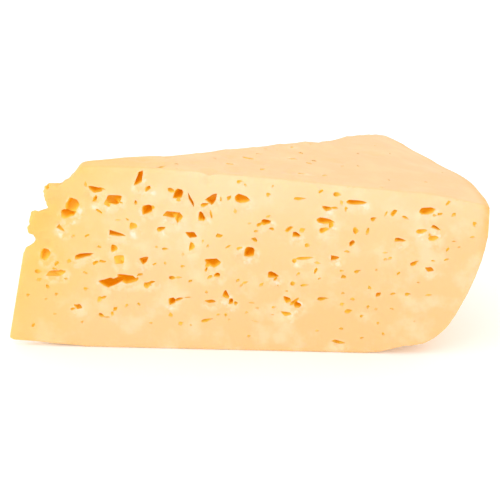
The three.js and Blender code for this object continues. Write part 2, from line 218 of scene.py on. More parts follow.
# Soft hollows in the front cut: along, up, reach and depth.
FRONT_HOLLOWS = (
    (53.2, 47.8, 2.6, 1.1), (61.8, 26.4, 2.8, 0.9), (31.5, 16.6, 3.4, 0.8), (53.2, 38.2, 2, 0.9),
    (22.6, 42.4, 1.8, 0.7), (45.4, 35, 2, 0.5), (73.2, 12.8, 2, 0.5), (47.4, 42, 2, 0.5),
    (14.4, 41, 4.5, 0.9), (10.6, 35.6, 4, 0.6), (11, 30, 3, 0.7), (83.6, 33, 2.2, 0.4),
    (68.5, 33.8, 2.2, 0.4), (13.4, 19.4, 2.4, 0.4), (76.6, 31, 1.8, 0.4), (34, 32.6, 2, 0.4),
    (45, 46.4, 1.8, 0.5), (62.4, 46.2, 1.8, 0.5), (49, 47.5, 2, 0.4), (28.6, 9, 2, 0.3),
)
# Soft hollows in the top face: along from the tip, in from the front cut, reach and depth.
TOP_HOLLOWS = (
    (53.8, 1.6, 3, 1), (41, 4, 3.6, 0.6), (49, 8, 3, 0.4), (60, 5, 4, 0.5), (66, 14, 3, 0.4),
    (86, 24, 4, 0.4), (74, 8, 3, 0.35), (97, 36, 4, 0.4), (58, 18, 3, 0.5), (36, 8, 3, 0.5),
    (40, 24, 19, 1), (83, 52, 11, 0.6), (115, 44, 22, 1.3), (108, 58, 13, 0.7),
    (80, 48, 2.6, 0.8), (41.5, 14, 2.4, 0.7),
)


def shade(red, green, blue):
    """A display colour in 0..255 as the linear colour that nodes and properties hold."""

    def linear(level):
        share = level / 255
        return share / 12.92 if share <= 0.04045 else ((share + 0.055) / 1.055) ** 2.4

    return linear(red), linear(green), linear(blue)


class WedgeShape(bpy.types.PropertyGroup):
    grid: bpy.props.FloatProperty(
        name="Grid", description="Spacing of the skin's mesh", default=0.75 * MM, subtype="DISTANCE"
    )
    soften: bpy.props.IntProperty(
        name="Soften", description="Rounds of smoothing that take the edge off the cuts", default=7
    )
    unevenness: bpy.props.FloatProperty(
        name="Unevenness", description="Height of the slow swells in the faces",
        default=0.22 * MM, subtype="DISTANCE",
    )
    ragged: bpy.props.FloatProperty(
        name="Ragged eyes", description="How far an eye's corners are chipped, as a share of its size",
        default=RAGGED,
    )
    sharp_angle: bpy.props.FloatProperty(
        name="Sharp angle", description="Edges over this angle are shaded sharp",
        default=SHARP_ANGLE, subtype="ANGLE",
    )
    scatter_density: bpy.props.FloatProperty(
        name="Small eyes", description="Small eyes per square metre where they are densest",
        default=EYE_DENSITY,
    )
    scatter_least: bpy.props.FloatProperty(
        name="Least eye", description="Width of the smallest scattered eye",
        default=LEAST_EYE, subtype="DISTANCE",
    )
    scatter_most: bpy.props.FloatProperty(
        name="Largest eye", description="Width of the largest scattered eye",
        default=MOST_EYE, subtype="DISTANCE",
    )
    seed: bpy.props.IntProperty(name="Seed", description="Seed of the scattered eyes", default=SEED)


class WedgeColours(bpy.types.PropertyGroup):
    cream: bpy.props.FloatVectorProperty(
        name="Cream", description="The paste", default=shade(253, 215, 160), subtype="COLOR"
    )
    peach: bpy.props.FloatVectorProperty(
        name="Peach", description="Warmer paste low down and in clouds",
        default=shade(252, 203, 141), subtype="COLOR",
    )
    # Partly the paste's own paler wisps, partly painted light: the pale band under the front's top edge
    # and the pale slopes under the eyes.
    butter_and_painted_light: bpy.props.FloatVectorProperty(
        name="Butter", description="Paler wisps and the slopes under the eyes",
        default=shade(254, 230, 190), subtype="COLOR",
    )
    # Painted highlight: white glints painted beside the eyes.
    eye_glint: bpy.props.FloatVectorProperty(
        name="Milk", description="Bright flecks beside the eyes", default=shade(255, 246, 228),
        subtype="COLOR",
    )
    blush: bpy.props.FloatVectorProperty(
        name="Blush", description="The pinker top face", default=shade(252, 205, 148),
        subtype="COLOR",
    )
    # Painted glow: the thin tip is painted yellower, standing in for light shining through the thin paste.
    tip_glow: bpy.props.FloatVectorProperty(
        name="Straw", description="The thin, glowing tip", default=shade(252, 201, 100),
        subtype="COLOR",
    )
    rim: bpy.props.FloatVectorProperty(
        name="Rim", description="Outside of the wheel", default=shade(252, 205, 138),
        subtype="COLOR",
    )
    rind: bpy.props.FloatVectorProperty(
        name="Dried edge", description="The dried line where the cut meets the rim",
        default=shade(249, 188, 104), subtype="COLOR",
    )
    # Painted glow and shade: the orange of the eyes' walls stands in for light scattered through the
    # paste.
    eye_wall_glow: bpy.props.FloatVectorProperty(
        name="Honey", description="Walls of the eyes", default=shade(236, 199, 72), subtype="COLOR"
    )
    # Painted shade and glow: the darker orange at the bottoms of the deep eyes.
    eye_bottom_shade_and_glow: bpy.props.FloatVectorProperty(
        name="Amber", description="Bottoms of the deep eyes", default=shade(233, 156, 6),
        subtype="COLOR",
    )


class StageSettings(bpy.types.PropertyGroup):
    floor_size: bpy.props.FloatProperty(
        name="Floor", description="Side of the floor", default=3.0, subtype="DISTANCE"
    )
    sky: bpy.props.FloatProperty(name="Sky", description="Strength of the white room", default=1.0)
    key_power: bpy.props.FloatProperty(
        name="Key", description="Power of the overhead soft light", default=1.1, subtype="POWER"
    )
    azimuth: bpy.props.FloatProperty(
        name="Azimuth", description="Camera's turn to the right", default=math.radians(3.4),
        subtype="ANGLE",
    )
    elevation: bpy.props.FloatProperty(
        name="Elevation", description="Camera's height over the base", default=math.radians(19),
        subtype="ANGLE",
    )
    distance: bpy.props.FloatProperty(
        name="Distance", description="Camera to the middle of the wedge", default=418 * MM,
        subtype="DISTANCE",
    )
    lens: bpy.props.FloatProperty(
        name="Lens", description="Focal length in millimetres on a 36 mm sensor", default=110.2
    )


class Wire:
    """One output of a node. Operators on it add Math nodes to its sheet."""

    def __init__(self, sheet, socket):
        self.sheet = sheet
        self.socket = socket

    def _math(self, operation, *values):
        return self.sheet.node("ShaderNodeMath", {"operation": operation}, dict(enumerate(values)))

    def __add__(self, other):
        return self._math("ADD", self, other)

    def __radd__(self, other):
        return self._math("ADD", other, self)

    def __sub__(self, other):
        return self._math("SUBTRACT", self, other)

    def __rsub__(self, other):
        return self._math("SUBTRACT", other, self)

    def __mul__(self, other):
        return self._math("MULTIPLY", self, other)

    def __rmul__(self, other):
        return self._math("MULTIPLY", other, self)

    def __truediv__(self, other):
        return self._math("DIVIDE", self, other)

    def __rtruediv__(self, other):
        return self._math("DIVIDE", other, self)

    def __pow__(self, other):
        return self._math("POWER", self, other)

    def __gt__(self, other):
        return self._math("GREATER_THAN", self, other)


class Sheet:
    """A node tree under construction, of geometry or of a material."""

    def __init__(self, tree):
        self.tree = tree

    def node(self, kind, settings=None, sockets=None, output=None):
        """Adds a node, sets its settings first, fills its sockets and returns one output."""
        node = self.tree.nodes.new(kind)
        for name, value in (settings or {}).items():
            setattr(node, name, value)
        for key, value in (sockets or {}).items():
            for part in value if isinstance(value, list) else [value]:
                self._fill(self._find(node.inputs, key), part)
        if not node.outputs:
            return node
        return Wire(self, self._find(node.outputs, output if output is not None else 0))

    def _find(self, sockets, key):
        shown = [socket for socket in sockets if socket.enabled]
        if isinstance(key, int):
            return shown[key]
        return next(socket for socket in shown if socket.name == key)

    def _fill(self, socket, value):
        if isinstance(value, Wire):
            self.tree.links.new(value.socket, socket)
        else:
            socket.default_value = value

    def other(self, wire, output):
        """Another output of the node that a wire comes from."""
        return Wire(self, self._find(wire.socket.node.outputs, output))

    def vector(self, operation, *values, output=None):
        return self.node("ShaderNodeVectorMath", {"operation": operation}, dict(enumerate(values)), output)

    def split(self, vector, axis):
        return self.node("ShaderNodeSeparateXYZ", {}, {"Vector": vector}, axis)

    def ramp(self, value, start, end):
        """0 below start, 1 above end and an S curve between them."""
        settings = {"interpolation_type": "SMOOTHSTEP"}
        sockets = {"Value": value, "From Min": start, "From Max": end}
        return self.node("ShaderNodeMapRange", settings, sockets)

    def noise(self, vector, scale, detail=2.0, output="Fac"):
        sockets = {"Vector": vector, "Scale": scale, "Detail": detail}
        return self.node("ShaderNodeTexNoise", {}, sockets, output)

    def mix(self, share, first, second):
        settings = {"data_type": "RGBA"}
        sockets = {"Factor": share, "A": first, "B": second}
        return self.node("ShaderNodeMix", settings, sockets)


def opaque(colour):
    """A property's colour with full alpha, as colour sockets take it."""
    return (*colour, 1.0)


# ---------------------------------------------------------------------------------- the skin


def front_depth(spot):
    """How far a point lies behind the front cut."""
    return spot.y - LOW.y


def back_depth(spot):
    """How far a point lies behind the hollow back cut."""
    from_start = spot - BACK_START
    share = from_start.dot(BACK_ALONG) / BACK_LENGTH
    return -4 * BACK_BOW * share * (1 - share) - from_start.dot(BACK_OUT)


def island_of(start, wanted):
    """The vertices that can be reached from one over wanted vertices only."""
    island, edge = {start}, [start]
    while edge:
        for link in edge.pop().link_edges:
            for vertex in link.verts:
                if vertex in wanted and vertex not in island:
                    island.add(vertex)
                    edge.append(vertex)
    return island


def lay_flush(work, depth_of, outward, tolerance):
    """Lays the frame's coarse eyes flush with a cut, so that finer ones open in a whole face."""
    sunk = {vertex for vertex in work.verts if depth_of(vertex.co) > tolerance}
    while sunk:
        island = island_of(next(iter(sunk)), sunk)
        sunk -= island
        deepest = max(depth_of(vertex.co) for vertex in island)
        if deepest < EYE_LIMIT:
            for vertex in island:
                vertex.co += outward * depth_of(vertex.co)


def whole_blank():
    """The frame's wedge as a new closed mesh, without its eyes."""
    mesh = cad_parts[NODE].data.copy()
    work = bmesh.new()
    work.from_mesh(mesh)
    bmesh.ops.remove_doubles(work, verts=work.verts, dist=0.001 * MM)
    lay_flush(work, front_depth, Vector((0, -1, 0)), 0.01 * MM)
    lay_flush(work, back_depth, BACK_OUT, 0.12 * MM)
    work.to_mesh(mesh)
    work.free()
    return mesh


def plain_result(holder, name):
    """The mesh that an object's modifiers make, as plain data."""
    graph = bpy.context.evaluated_depsgraph_get()
    mesh = bpy.data.meshes.new_from_object(holder.evaluated_get(graph), depsgraph=graph)
    mesh.name = name
    return mesh


def linked_object(name, mesh):
    made = bpy.data.objects.new(name, mesh)
    bpy.context.scene.collection.objects.link(made)
    return made


def smooth_step(value, start, end):
    share = min(1.0, max(0.0, (value - start) / (end - start)))
    return share * share * (3 - 2 * share)


def spots_of(mesh):
    """Place and normal of every vertex, read before any of them moves."""
    return [(vertex.co.copy(), vertex.normal.copy()) for vertex in mesh.vertices]


def move_to(mesh, spots):
    mesh.vertices.foreach_set("co", [value for spot in spots for value in spot])
    mesh.update()


def pressed(spot, front, top):
    """A point after the soft hollows are pressed in."""
    sunk = 0.0
    if front_depth(spot) < FRONT_SKIN:
        for x, z, reach, depth in front:
            far = math.hypot(spot.x - x, spot.z - z)
            if far < reach:
                sunk = max(sunk, depth * (1 - smooth_step(far, 0, reach)))
        spot.y += sunk
    near_top = smooth_step(spot.z - LOW.z, *TOP_PRESS)
    if near_top > 0:
        for x, y, reach, depth in top:
            far = math.hypot(spot.x - x, spot.y - y)
            if far < reach:
                spot.z -= depth * near_top * (1 - smooth_step(far, 0, reach))
    return spot


def lit_slopes():
    """A soft hollow under every deep eye but the smallest."""
    for along, up, width, height, _ in DEEP_EYES:
        size = math.sqrt(width * height)
        if size > 1.6:
            yield along + 0.15 * size, up - 0.6 * height - 0.4 * size, 1.1 * size, 0.18 * size


def press_hollows(mesh):
    """Presses the soft hollows into the front cut and the top face."""
    hollows = FRONT_HOLLOWS + tuple(lit_slopes())
    front = [(LOW.x + a * MM, LOW.z + u * MM, r * MM, d * MM) for a, u, r, d in hollows]
    top = [(LOW.x + a * MM, LOW.y + i * MM, r * MM, d * MM) for a, i, r, d in TOP_HOLLOWS]
    move_to(mesh, [pressed(spot, front, top) for spot, _ in spots_of(mesh)])


def swell(mesh, height):
    """Slow, uneven swells over every face but the one it lies on."""
    moved = []
    for spot, normal in spots_of(mesh):
        slow = noise.noise(spot / MM * SLOW_SWELL)
        quick = noise.noise(spot / MM * QUICK_SWELL + Vector((40, 0, 0)))
        free = smooth_step(spot.z - LOW.z, 0.3 * MM, 5 * MM)
        moved.append(spot + normal * (height * free * (slow + 0.5 * quick)))
    move_to(mesh, moved)


def arch(value, start, end):
    """0 outside start and end and 1 halfway between them."""
    middle = (start + end) / 2
    return smooth_step(value, start, middle) * (1 - smooth_step(value, middle, end))


def tip_and_rim(mesh):
    """Gives back what softening took, rounds the foot of the tip and crumbles the broken corner."""
    moved = []
    for spot, normal in spots_of(mesh):
        from_tip = spot.x - LOW.x
        height = max(0.0, spot.z - LOW.z)
        out = spot - WHEEL_AXIS
        out.z = 0
        outer = smooth_step(normal.dot(out.normalized()), 0.3, 0.8)
        swollen = smooth_step(height, 3 * MM, 10 * MM)
        from_rim = WHEEL_RADIUS - out.length
        under = smooth_step(-normal.z, 0.05, 0.35)
        spot += out.normalized() * (RIM_GAIN * outer * swollen)
        spot.z += under * (ROLL_LIFT * arch(from_rim, *ROLL_LIFT_BAND))
        spot.z -= under * (ROLL_DROP * arch(from_rim, *ROLL_DROP_BAND))
        low_down = 1 - smooth_step(height, TIP_TOP - 4 * MM, TIP_TOP)
        gain = 0.5 * TIP_GAIN * (1 + low_down) * smooth_step(height, 0, 4 * MM)
        spot.x -= gain * (1 - smooth_step(from_tip, 0, TIP_REACH))
        if height < TIP_TOP:
            spot.x = max(spot.x, LOW.x + TIP_SLOPE * max(0.0, height - 2 * MM))
        if height < FOOT_RADIUS:
            rounding = FOOT_RADIUS - math.sqrt(FOOT_RADIUS ** 2 - (FOOT_RADIUS - height) ** 2)
            spot.x += rounding * (1 - smooth_step(from_tip, 0, FOOT_REACH))
        broken = smooth_step(height, *BREAK_HEIGHT) * (1 - smooth_step(from_tip, *BREAK_REACH))
        crumbs = noise.noise(spot / MM * 0.75) + 0.6 * noise.noise(spot / MM * 1.6)
        moved.append(spot + normal * (CRUMB_HEIGHT * broken * crumbs))
    move_to(mesh, moved)


def keep_in_box(mesh):
    """Nothing stands proud of the frame's box, and the base stays flat."""
    kept = []
    for spot, _ in spots_of(mesh):
        kept.append([min(HIGH[axis], max(LOW[axis], spot[axis])) for axis in range(3)])
    move_to(mesh, kept)


def mark_density(mesh):
    """Where small eyes may open: thick near the tip and high up, thin at the rim and the base."""
    density = mesh.attributes.new("eye_density", "FLOAT", "POINT")
    for index, (spot, normal) in enumerate(spots_of(mesh)):
        out = spot - WHEEL_AXIS
        radius = math.hypot(out.x, out.y)
        height = (spot.z - LOW.z) / (HIGH.z - LOW.z)
        inland = 1 - smooth_step(radius, WHEEL_RADIUS * 0.45, WHEEL_RADIUS * 0.95)
        level = 0.15 + 0.85 * smooth_step(height, 0.08, 0.55)
        facing_back = smooth_step(normal.dot(BACK_OUT), 0.6, 0.9)
        facing_up = smooth_step(normal.z, 0.6, 0.9)
        face = facing_back + 0.12 * facing_up
        density.data[index].value = min(1.0, face) * level * (0.25 + 0.75 * inland)


def make_skin(shape):
    """The wedge's outside without its eyes: an even mesh with softened edges."""
    holder = linked_object("skin_blank", whole_blank())
    remesh = holder.modifiers.new("Even mesh", "REMESH")
    remesh.mode = "VOXEL"
    remesh.voxel_size = shape.grid
    smooth = holder.modifiers.new("Softened edges", "SMOOTH")
    smooth.factor = 0.5
    smooth.iterations = shape.soften
    mesh = plain_result(holder, "skin")
    bpy.data.objects.remove(holder)
    press_hollows(mesh)
    swell(mesh, shape.unevenness)
    tip_and_rim(mesh)
    keep_in_box(mesh)
    mark_density(mesh)
    return mesh


# ---------------------------------------------------------------------------------- the eyes


def eye_form(place, across, outward, eye, depth, lean):
    """Carries a unit ball to an eye whose mouth is exact and whose inner end leans upwards."""
    _, _, width, height, tilt = eye
    up = outward.cross(across)
    turn = math.radians(tilt)
    lengthwise = (across * math.cos(turn) + up * math.sin(turn)) * (width * MM / 2 * EYE_FILL)
    crosswise = (up * math.cos(turn) - across * math.sin(turn)) * (height * MM / 2 * EYE_FILL)
    axis = (outward * math.cos(lean) - up * math.sin(lean)) * (depth * MM)
    return Matrix((
        (lengthwise.x, crosswise.x, axis.x, place.x),
        (lengthwise.y, crosswise.y, axis.y, place.y),
        (lengthwise.z, crosswise.z, axis.z, place.z),
        (0, 0, 0, 1),
    ))


def mean_size(eye):
    return math.sqrt(eye[2] * eye[3])


def front_eyes(eyes, share, lean):
    """Eyes of the front cut, as deep as a share of their mean size."""
    for eye in eyes:
        place = LOW + Vector((eye[0] * MM, 0, eye[1] * MM))
        depth = EYE_MARGIN + share * mean_size(eye)
        yield eye_form(place, Vector((1, 0, 0)), Vector((0, -1, 0)), eye, depth, math.radians(lean))


def back_eyes(skin):
    """Eyes of the hollow back cut, found by looking at it squarely."""
    for eye in BACK_EYES:
        start = BACK_START + BACK_ALONG * (eye[0] * MM) + Vector((0, 0, eye[1] * MM))
        hit, place = skin.ray_cast(start + BACK_OUT * (30 * MM), -BACK_OUT)[:2]
        if hit:
            depth = EYE_MARGIN + 0.75 * mean_size(eye)
            yield eye_form(place, -BACK_ALONG, BACK_OUT, eye, depth, math.radians(24))


def top_eyes(skin):
    """Eyes of the falling top."""
    for eye in TOP_EYES:
        start = Vector((LOW.x + eye[0] * MM, LOW.y + eye[1] * MM, HIGH.z + 10 * MM))
        hit, place = skin.ray_cast(start, Vector((0, 0, -1)))[:2]
        if hit:
            depth = TOP_EYE_SHARE * mean_size(eye)
            yield eye_form(place, Vector((1, 0, 0)), Vector((0, 0, 1)), eye, depth, TOP_EYE_LEAN)


def marked_eyes(skin):
    """All listed eyes as one cloud of points that carry the eyes' forms."""
    forms = list(front_eyes(DEEP_EYES, 0.9, 12)) + list(front_eyes(OPEN_EYES, 0.55, 14))
    forms += list(front_eyes(FAINT_EYES, 0.4, 10)) + list(back_eyes(skin)) + list(top_eyes(skin))
    cloud = bpy.data.meshes.new("marked_eyes")
    cloud.from_pydata([form.translation for form in forms], [], [])
    cloud.attributes.new("eye_form", "FLOAT4X4", "POINT")
    cloud.attributes.new("eye_width", "FLOAT", "POINT")
    for index, form in enumerate(forms):
        cloud.attributes["eye_form"].data[index].value = form
        cloud.attributes["eye_width"].data[index].value = form.col[0].length + form.col[1].length
    return linked_object("marked_eyes", cloud)


def carried(sheet, kind, name):
    """A value that the points carry under a name."""
    return sheet.node("GeometryNodeInputNamedAttribute", {"data_type": kind}, {"Name": name})


def random_value(sheet, kind, low, high, seed):
    sockets = {"Min": low, "Max": high, "Seed": seed}
    return sheet.node("FunctionNodeRandomValue", {"data_type": kind}, sockets)


def scaled(sheet, vector, factor):
    sockets = {"Vector": vector, "Scale": factor}
    return sheet.node("ShaderNodeVectorMath", {"operation": "SCALE"}, sockets)


def eye_blanks(sheet, ragged, fineness, crease, first_seed):
    """Angular closed blanks of about unit radius, to be picked from for each eye."""
    blanks = []
    for number in range(BLANK_COUNT):
        stone = sheet.node("GeometryNodeMeshIcoSphere", {}, {"Radius": 1.0, "Subdivisions": 1})
        shift = random_value(sheet, "FLOAT_VECTOR", (-1, -1, -1), (1, 1, 1), first_seed + number)
        chipped = sheet.node(
            "GeometryNodeSetPosition", {}, {"Geometry": stone, "Offset": scaled(sheet, shift, ragged)}
        )
        if fineness:
            chipped = sheet.node(
                "GeometryNodeSubdivisionSurface", {},
                {"Mesh": chipped, "Level": fineness, "Edge Crease": crease},
            )
        blanks.append(sheet.node("GeometryNodeGeometryToInstance", {}, {"Geometry": chipped}))
    return sheet.node("GeometryNodeJoinGeometry", {}, {"Geometry": blanks[::-1]})


def place_blanks(sheet, points, blanks, seed, **more):
    sockets = {
        "Points": points, "Instance": blanks, "Pick Instance": True,
        "Instance Index": random_value(sheet, "INT", 0, BLANK_COUNT - 1, seed), **more,
    }
    return sheet.node("GeometryNodeInstanceOnPoints", {}, sockets)


def shaped_eyes(sheet, points, blanks, seed, chosen):
    """Listed eyes, each with the form that its point carries."""
    placed = place_blanks(sheet, points, blanks, seed, Selection=chosen)
    form = carried(sheet, "FLOAT4X4", "eye_form")
    return sheet.node("GeometryNodeSetInstanceTransform", {}, {"Instances": placed, "Transform": form})


def scattered_eyes(sheet, skin, given, blanks):
    """Small eyes at random places, sizes and turns, sunk along the face's own normal."""
    seed = given("Seed")
    density = carried(sheet, "FLOAT", "eye_density")
    points = sheet.node(
        "GeometryNodeDistributePointsOnFaces", {"distribute_method": "RANDOM"},
        {"Mesh": skin, "Density": density * given("Density"), "Seed": seed},
    )
    spin = random_value(sheet, "FLOAT_VECTOR", (-0.35, -0.35, -3.14), (0.35, 0.35, 3.14), seed + 1.0)
    turn = sheet.node(
        "FunctionNodeRotateRotation", {"rotation_space": "LOCAL"},
        {
            "Rotation": sheet.other(points, "Rotation"),
            "Rotate By": sheet.node("FunctionNodeEulerToRotation", {}, {"Euler": spin}),
        },
    )
    chance = random_value(sheet, "FLOAT", 0.0, 1.0, seed + 2.0)
    width = given("Least") + (given("Most") - given("Least")) * chance ** 5.0
    stretch = random_value(sheet, "FLOAT_VECTOR", (0.5, 0.26, 0.4), (0.7, 0.5, 0.6), seed + 3.0)
    size = scaled(sheet, stretch, width)
    return place_blanks(sheet, points, blanks, seed + 4.0, Rotation=turn, Scale=size)


def distance_to(sheet, target, spot):
    sockets = {"Geometry": target, "Sample Position": spot}
    settings = {"target_element": "FACES"}
    return sheet.node("GeometryNodeProximity", settings, sockets, "Distance")


def note(sheet, geometry, name, kind, value):
    """Stores a value on the points under a name that the paste reads."""
    settings = {"data_type": kind, "domain": "POINT"}
    sockets = {"Geometry": geometry, "Name": name, "Value": value}
    return sheet.node("GeometryNodeStoreNamedAttribute", settings, sockets)


def eyes_tree(material):
    """Geometry nodes that open every eye in the skin and note how deep each point lies."""
    tree = bpy.data.node_groups.new("open_eyes", "GeometryNodeTree")
    for name, kind, default in (
        ("Skin", "NodeSocketGeometry", None), ("Marked eyes", "NodeSocketObject", None),
        ("Ragged", "NodeSocketFloat", RAGGED), ("Density", "NodeSocketFloat", EYE_DENSITY),
        ("Least", "NodeSocketFloat", LEAST_EYE), ("Most", "NodeSocketFloat", MOST_EYE),
        ("Sharp angle", "NodeSocketFloat", SHARP_ANGLE), ("Seed", "NodeSocketInt", SEED),
    ):
        socket = tree.interface.new_socket(name, in_out="INPUT", socket_type=kind)
        if default is not None:
            socket.default_value = default
    tree.interface.new_socket("Wedge", in_out="OUTPUT", socket_type="NodeSocketGeometry")
    sheet = Sheet(tree)
    group = sheet.node("NodeGroupInput")

    def given(name):
        return sheet.other(group, name)

    skin = given("Skin")
    fine = eye_blanks(sheet, given("Ragged"), 2, 0.88, 20)
    medium = eye_blanks(sheet, given("Ragged"), 1, 0.75, 40)
    small = eye_blanks(sheet, given("Ragged"), 0, 0.0, 60)
    cloud = sheet.node("GeometryNodeObjectInfo", {}, {"Object": given("Marked eyes")}, "Geometry")
    points = sheet.node("GeometryNodeMeshToPoints", {}, {"Mesh": cloud})
    width = carried(sheet, "FLOAT", "eye_width")
    large = width > LARGE_EYE
    marked = [
        shaped_eyes(sheet, points, fine, 3, large),
        shaped_eyes(sheet, points, medium, 4, 1.0 - large),
    ]
    cutters = [*marked, scattered_eyes(sheet, skin, given, small)]
    opened = sheet.node(
        "GeometryNodeMeshBoolean", {"operation": "DIFFERENCE", "solver": "MANIFOLD"},
        {"Mesh 1": skin, "Mesh 2": cutters},
    )
    spot = sheet.node("GeometryNodeInputPosition")
    noted = note(sheet, opened, "eye_depth", "FLOAT", distance_to(sheet, skin, spot) / MM)
    above = sheet.vector("ADD", spot, (-0.3 * MM, 0.0, 1.1 * MM))
    openings = sheet.node("GeometryNodeRealizeInstances", {}, {"Geometry": marked[0]})
    noted = note(sheet, noted, "under_eye", "FLOAT", distance_to(sheet, openings, above) / MM)
    outside = sheet.node(
        "GeometryNodeSampleNearestSurface", {"data_type": "FLOAT_VECTOR"},
        {"Mesh": skin, "Value": sheet.node("GeometryNodeInputNormal")},
    )
    noted = note(sheet, noted, "skin_normal", "FLOAT_VECTOR", outside)
    shaded = sheet.node("GeometryNodeSetShadeSmooth", {"domain": "FACE"}, {"Geometry": noted})
    bend = sheet.node("GeometryNodeInputMeshEdgeAngle", {}, {}, "Unsigned Angle")
    creased = sheet.node(
        "GeometryNodeSetShadeSmooth", {"domain": "EDGE"},
        {"Geometry": shaded, "Selection": bend > given("Sharp angle"), "Shade Smooth": False},
    )
    real = sheet.node("GeometryNodeRealizeInstances", {}, {"Geometry": creased})
    finished = sheet.node("GeometryNodeSetMaterial", {}, {"Geometry": real, "Material": material})
    sheet.node("NodeGroupOutput", {}, {"Wedge": finished})
    return tree


def set_inputs(modifier, values):
    for item in modifier.node_group.interface.items_tree:
        if item.item_type == "SOCKET" and item.in_out == "INPUT" and item.name in values:
            modifier[item.identifier] = values[item.name]


def ray_target(mesh):
    """An object of the skin that rays can be cast at."""
    target = linked_object("ray_target", mesh.copy())
    bpy.context.view_layer.update()
    return target


def make_wedge(shape, material):
    """Opens the eyes in the skin and returns the finished piece."""
    skin = make_skin(shape)
    target = ray_target(skin)
    cloud = marked_eyes(target)
    bpy.data.objects.remove(target)
    holder = linked_object("wedge_blank", skin)
    opener = holder.modifiers.new("Eyes", "NODES")
    opener.node_group = eyes_tree(material)
    set_inputs(opener, {
        "Marked eyes": cloud, "Ragged": shape.ragged, "Density": shape.scatter_density,
        "Least": shape.scatter_least, "Most": shape.scatter_most,
        "Sharp angle": shape.sharp_angle, "Seed": shape.seed,
    })
    piece = linked_object("cheese_wedge_body", plain_result(holder, "cheese_wedge_body"))
    bpy.data.objects.remove(holder)
    bpy.data.objects.remove(cloud)
    return piece


# --------------------------------------------------------------------------------- the paste


